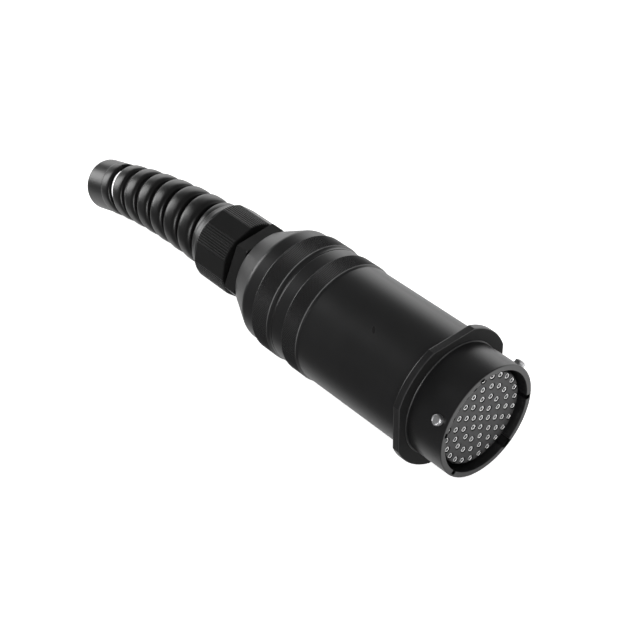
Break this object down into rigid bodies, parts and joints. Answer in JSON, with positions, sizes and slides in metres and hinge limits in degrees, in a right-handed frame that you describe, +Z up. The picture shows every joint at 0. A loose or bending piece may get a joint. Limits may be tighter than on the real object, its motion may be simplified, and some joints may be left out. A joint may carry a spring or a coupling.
{
  "type": "circular cable connector",
  "caption": "Long black circular cable connector: socket contacts in a bayonet-stud nose, extension barrel, knurled end bell and cable gland with a spiral bend guard.",
  "frame": {"origin": "centre of the mating rim, on the connector's axis", "axes": "+X along the axis and out of the mating face, +Z up, with the flange's lower flat facing -Z"},
  "size_m": [0.1787, 0.04, 0.04],
  "materials": {
    "shell_black": "black anodised aluminium, satin",
    "stud_steel": "bright stainless steel",
    "rubber_black": "black silicone rubber",
    "insert_grey": "grey moulded insulator",
    "contact_silver": "silver-plated copper alloy",
    "clip_bronze": "spring bronze",
    "ring_steel": "spring steel",
    "gland_black": "black polyamide"
  },
  "bodies": {
    "connector_body": {"front_shell": "shell_black", "bayonet_studs": "stud_steel", "mating_seal": "rubber_black", "front_insert": "insert_grey", "rear_insert": "insert_grey", "socket_contacts": "contact_silver", "retention_clips": "clip_bronze", "wire_grommet": "rubber_black", "insert_ring": "ring_steel", "shell_seal": "rubber_black", "barrel": "shell_black"},
    "rear_end": {"end_bell": "shell_black", "bell_seal": "rubber_black", "gland_washer": "rubber_black", "gland_body": "gland_black", "clamp_cage": "gland_black", "cable_seal": "rubber_black"},
    "nut": {"gland_nut": "gland_black"}
  },
  "joints": [
    {"name": "end_bell_turn", "type": "hinge", "parent": "connector_body", "child": "rear_end", "pos_m": [-0.0672, 0, 0], "axis": [1, 0, 0], "continuous": true},
    {"name": "gland_nut_turn", "type": "hinge", "parent": "rear_end", "child": "nut", "pos_m": [-0.1, 0, 0], "axis": [1, 0, 0], "continuous": true}
  ]
}
